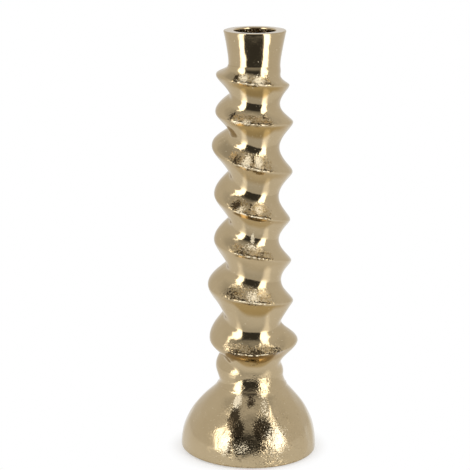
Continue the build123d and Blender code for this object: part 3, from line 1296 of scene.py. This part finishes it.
@dataclass(frozen=True)
class TieRod:
    """The rod, threaded at both ends."""

    low: float
    top: float
    middle: float = 2.8
    radius: float = 3.0
    pitch: float = 1.0
    thread_depth: float = 0.5
    thread_length: float = 24.0
    run_out: float = 1.5
    chamfer: float = 0.6
    crease: float = 40.0
    zinc: PlatedSteel = PlatedSteel("rod_zinc", (0.66, 0.66, 0.62), (0.46, 0.46, 0.42), 0.28)
    rows_per_turn: int = 10
    bearings: int = 40

    def build(self) -> bpy.types.Object:
        """Makes the rod: the radius falls by a triangle wave that climbs one pitch a turn, at both ends.

        Returns:
            The piece, its ends drawn in to the middle.
        """
        rows = int(self.thread_length / self.pitch * self.rows_per_turn)
        upper = np.linspace(self.top, self.top - self.thread_length, rows)
        lower = np.linspace(self.low + self.thread_length, self.low, rows)
        height = np.concatenate([upper, lower])[:, None]
        angle = round_angles(self.bearings)[None, :]
        end = np.minimum(self.top - height, height - self.low)
        climb = np.mod(height / self.pitch - angle / (2 * math.pi), 1.0)
        cut = self.thread_depth * np.abs(2 * climb - 1) * ease((self.thread_length - end) / self.run_out)
        radius = np.minimum(self.radius - cut, self.radius - self.chamfer + end)
        side = ring(self.middle, radius, angle, height)
        caps = [ring(self.middle, AXIS_RADIUS, angle, level) for level in (self.top, self.low)]
        return add_skin("threaded_rod", np.concatenate([caps[0], side, caps[1]]), self.crease)

    def dress(self, piece: bpy.types.Object) -> None:
        """Gives the rod its zinc."""
        fit_piece(piece, self.zinc.material(), "tie_rod")


@dataclass(frozen=True)
class FeltPad:
    """The felt disc, with soft edges and an uneven face below."""

    radius: float
    thickness: float
    softness: float = 0.5
    spacing: float = 1.2
    lumps: Ripple = Ripple(41, 5.0)
    unevenness: float = 0.05
    middle_calm: float = 3.0
    bearings: int = 240

    def build(self) -> bpy.types.Object:
        """Makes the pad: rows run from the middle of the top out over the soft edge and back below.

        Returns:
            The piece.
        """
        outline = rounded_outline([
            (AXIS_RADIUS, self.thickness, 0.0),
            (self.radius, self.thickness, self.softness),
            (self.radius, 0.0, self.softness),
            (AXIS_RADIUS, 0.0, 0.0),
        ], self.spacing)
        radius, height = outline[:, :1], outline[:, 1:]
        points = ring(0.0, radius, round_angles(self.bearings), height)
        face = ease(radius / self.middle_calm) * (height < self.thickness / 2)
        points[..., 2] += self.unevenness * face * (1 + np.tanh(self.lumps(points))) / 2
        return add_skin("felt_disc", points)

    def dress(self, piece: bpy.types.Object) -> None:
        """Gives the pad its felt."""
        fit_piece(piece, Felt("black_felt").material(), "felt_pad")


@dataclass(frozen=True)
class Fixings:
    """The washers, nut and board, which keep their solids and take finer finishes."""

    zinc: PlatedSteel = PlatedSteel("fixing_zinc", (0.66, 0.66, 0.62), (0.46, 0.46, 0.42), 0.28)
    spring: PlatedSteel = PlatedSteel("spring_black", (0.22, 0.22, 0.23), (0.12, 0.12, 0.12), 0.35)
    board: Hardboard = Hardboard("brown_hardboard")

    def dress(self, nodes: dict[str, bpy.types.Object]) -> None:
        """Puts the finishes into the solids' material slots.

        Args:
            nodes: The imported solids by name.
        """
        finishes = {
            "flat_washer": self.zinc.material(),
            "spring_washer": self.spring.material(),
            "backing_board": self.board.material(),
        }
        finishes["hex_nut"] = finishes["flat_washer"]
        for name, material in finishes.items():
            for slot in nodes[name].material_slots:
                slot.material = material
            log.info("solid %s keeps its shape", name)


# Studio


@dataclass(frozen=True)
class Studio:
    """White table, surroundings with a dark gap between two bright strips, and the camera.

    Slopes run over the upward part of a direction. The table's shadow, gap start and glare run over metres
    from the middle of the foot.
    """

    frame_pixels: float = 470.0
    focal_pixels: float = 1604.9
    sensor: float = 36.0
    camera_place: Place = (-7.9, -913.9, 349.3)
    camera_pitch: float = 13.46
    camera_clip: Pair = (0.05, 50.0)
    room: float = 0.88
    room_tint: tuple[float, float, float, float] = (1.0, 0.985, 0.96, 1.0)
    ceiling: Slope = Slope(0.6, 0.95, 0.35)
    gap: float = 0.06
    gap_ceiling: Slope = Slope(0.35, 0.75, 0.42)
    gap_overhead: Slope = Slope(0.75, 0.95, 0.30)
    strip: float = 4.4
    left_strip: Pair = (-0.84, -0.62)
    right_strip: Pair = (0.52, 0.78)
    lean: Slope = Slope(-0.3, 0.6, 0.06)
    close: Slope = Slope(0.3, 0.75, 0.27)
    spread: Slope = Slope(-0.4, 0.0, 0.04)
    ahead: Pair = (-0.10, -0.30)
    edge: float = 0.035
    table_reach: float = 400.0
    table_points: int = 25
    table_crease: float = 50.0
    paper: tuple[Colour, Colour] = ((0.94, 0.94, 0.94), (0.97, 0.97, 0.97))
    paper_grain: Pair = (2.0, 3.0)
    table_shadow: Slope = Slope(0.036, 0.050, 0.55)
    table_gap: float = 0.72
    table_gap_start: Pair = (0.06, 0.20)
    table_strip: float = 1.5
    table_glare: Pair = (0.20, 0.40)
    table_edge: float = 0.10
    mirror_place: Place = (3.0, -18.0, 140.0)

    def camera(self) -> None:
        """Sets the camera at the photograph's place, level across and tipped down."""
        lens = bpy.data.cameras.new("viewpoint")
        lens.sensor_width = self.sensor
        lens.lens = self.focal_pixels / self.frame_pixels * self.sensor
        lens.clip_start, lens.clip_end = self.camera_clip
        camera = bpy.data.objects.new("viewpoint", lens)
        camera.location = np.array(self.camera_place) * MM
        camera.rotation_euler = (math.radians(90 - self.camera_pitch), 0, 0)
        bpy.context.scene.collection.objects.link(camera)
        bpy.context.scene.camera = camera

    def seen_by(self, sheet: Sheet, *kinds: Ray) -> Socket:
        """Rays of some kinds.

        Args:
            sheet: The tree to build in.
            kinds: The kinds of ray.

        Returns:
            Share that is 1 for those rays and 0 for others.
        """
        total, *others = (sheet.add("LightPath", {}, {}, kind.value) for kind in kinds)
        for ray in others:
            total = total.most(ray)
        return total

    def bands(self, sheet: Sheet, aim: Socket, edge: float) -> tuple[Socket, Socket]:
        """Dark gap in front and the bright strips beside it.

        They run up, overhead and down over the table, so they are bounded by how far a direction points to
        the side.

        Args:
            sheet: The tree to build in.
            aim: Direction looked in, of length one.
            edge: Half width of the soft edges.

        Returns:
            Shares of the gap and of the strips in that direction.
        """
        side, away, up = (sheet.add("SeparateXYZ", {}, {"Vector": aim}, axis) for axis in "XYZ")
        inward = self.lean.along(up)
        outward = self.close.along(up) - self.spread.along(up)
        outer_left, inner_left = self.left_strip
        inner_right, outer_right = self.right_strip
        limits = (side - outer_left - outward, side - inner_left - inward,
                  side - inner_right + inward, side - outer_right + outward)
        past = [limit.between(-edge, edge) for limit in limits]
        ahead = away.between(*self.ahead)
        return (past[1] - past[2]) * ahead, (past[0] - past[1] + past[2] - past[3]) * ahead

    def table_white(self, sheet: Sheet, apart: Socket) -> Socket:
        """White of the table, with a painted reflection of the gap and the strips that only polished pieces
        see.

        The bands lie on the table as they are seen from one place on the column's front.

        Args:
            sheet: The tree to build in.
            apart: Distance from the middle of the foot.

        Returns:
            The shader.
        """
        mirror = tuple(value * MM for value in self.mirror_place)
        aim = sheet.vector("NORMALIZE", sheet.vector("SUBTRACT", sheet.place(), mirror))
        gap, strips = self.bands(sheet, aim, self.table_edge)
        mirrored = self.seen_by(sheet, Ray.GLOSSY)
        levels = (1.0, self.table_gap, self.table_strip, self.strip)
        shaders = (sheet.add("Emission", {}, {"Color": WHITE, "Strength": level}) for level in levels)
        white, dim, glow, glare = shaders
        # Painted reflection: glossy rays see a dim gap and glowing strips on the table.
        plain = sheet.blend(gap * mirrored * apart.between(*self.table_gap_start), white, dim)
        bright = sheet.blend(apart.between(*self.table_glare), glow, glare)
        return sheet.blend(strips * mirrored, plain, bright)

    def table(self) -> None:
        """Lays a round white table: paper near the foot, where the shadow falls, and plain white beyond."""
        side = np.linspace(-1, 1, self.table_points)
        across, along = np.meshgrid(side, side, indexing="ij")
        disc = [across * np.sqrt(1 - along ** 2 / 2), along * np.sqrt(1 - across ** 2 / 2), 0 * across]
        points = self.table_reach * np.stack(disc, axis=-1)
        floor = add_mesh("table", points, open_faces(*across.shape), self.table_crease)
        material, sheet = new_sheet("white_table")
        apart = sheet.add("VectorMath", {"operation": "LENGTH"}, {0: sheet.place()}, "Value")
        tone = sheet.mix(sheet.noise(*self.paper_grain), *self.paper)
        paper = sheet.add("BsdfDiffuse", {}, {"Color": tone})
        plain = self.table_shadow.along(apart) + (1 - self.table_shadow.amount)
        seen = self.seen_by(sheet, *Ray) * plain
        # Beyond the paper, polished pieces see the table's painted reflection of the gap and strips.
        sheet.surface(sheet.blend(seen, paper, self.table_white(sheet, apart)))
        floor.data.materials.append(material)

    def surroundings(self) -> None:
        """Lights the room: white to the camera, pale around, with the dark gap and the bright strips."""
        world = bpy.data.worlds.new("room")
        bpy.context.scene.world = world
        world.use_nodes = True
        sheet = Sheet(world.node_tree)
        aim = sheet.add("TexCoord", {}, {}, "Generated")
        up = sheet.add("SeparateXYZ", {}, {"Vector": aim}, "Z")
        gap, strips = self.bands(sheet, aim, self.edge)
        dark = self.gap_ceiling.along(up) + self.gap_overhead.along(up) + self.gap
        walls = self.room * (1 - self.ceiling.along(up))
        level = (1 - gap - strips) * walls + gap * dark + strips * self.strip
        room = sheet.add("Background", {}, {"Color": self.room_tint, "Strength": level})
        white = sheet.add("Background", {}, {"Color": WHITE, "Strength": 1.0})
        sheet.surface(sheet.blend(self.seen_by(sheet, Ray.CAMERA), room, white))

    def set_up(self) -> None:
        """Builds the studio."""
        bpy.context.scene.view_settings.view_transform = "Standard"
        self.camera()
        self.table()
        self.surroundings()


def span(node: str) -> tuple[Array, Array]:
    """Lowest and highest corners of a solid, in millimetres."""
    low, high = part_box(node)
    return np.array(low) / MM, np.array(high) / MM


def main() -> None:
    """Builds every sub-assembly in order, then the studio."""
    logging.basicConfig(level=logging.INFO, format="%(message)s")
    column_low, column_high = span("spiral_column")
    cup_high = span("candle_cup")[1]
    bell_low = span("bell_base")[0]
    rod_low, rod_high = span("tie_rod")
    felt_low, felt_high = span("felt_pad")
    throat = Throat()
    assemblies = [
        SpiralColumn(RidgeCourse(), throat, column_low[2], column_high[2]),
        CandleCup(throat, column_high[2], cup_high[2]),
        BellFoot(bell_low[2], column_low[2]),
        TieRod(rod_low[2], rod_high[2]),
        FeltPad((felt_high[0] - felt_low[0]) / 2, felt_high[2] - felt_low[2]),
    ]
    for assembly in assemblies:
        assembly.dress(assembly.build())
    Fixings().dress(frame["nodes"])
    Studio().set_up()


if __name__ == "__main__":
    main()
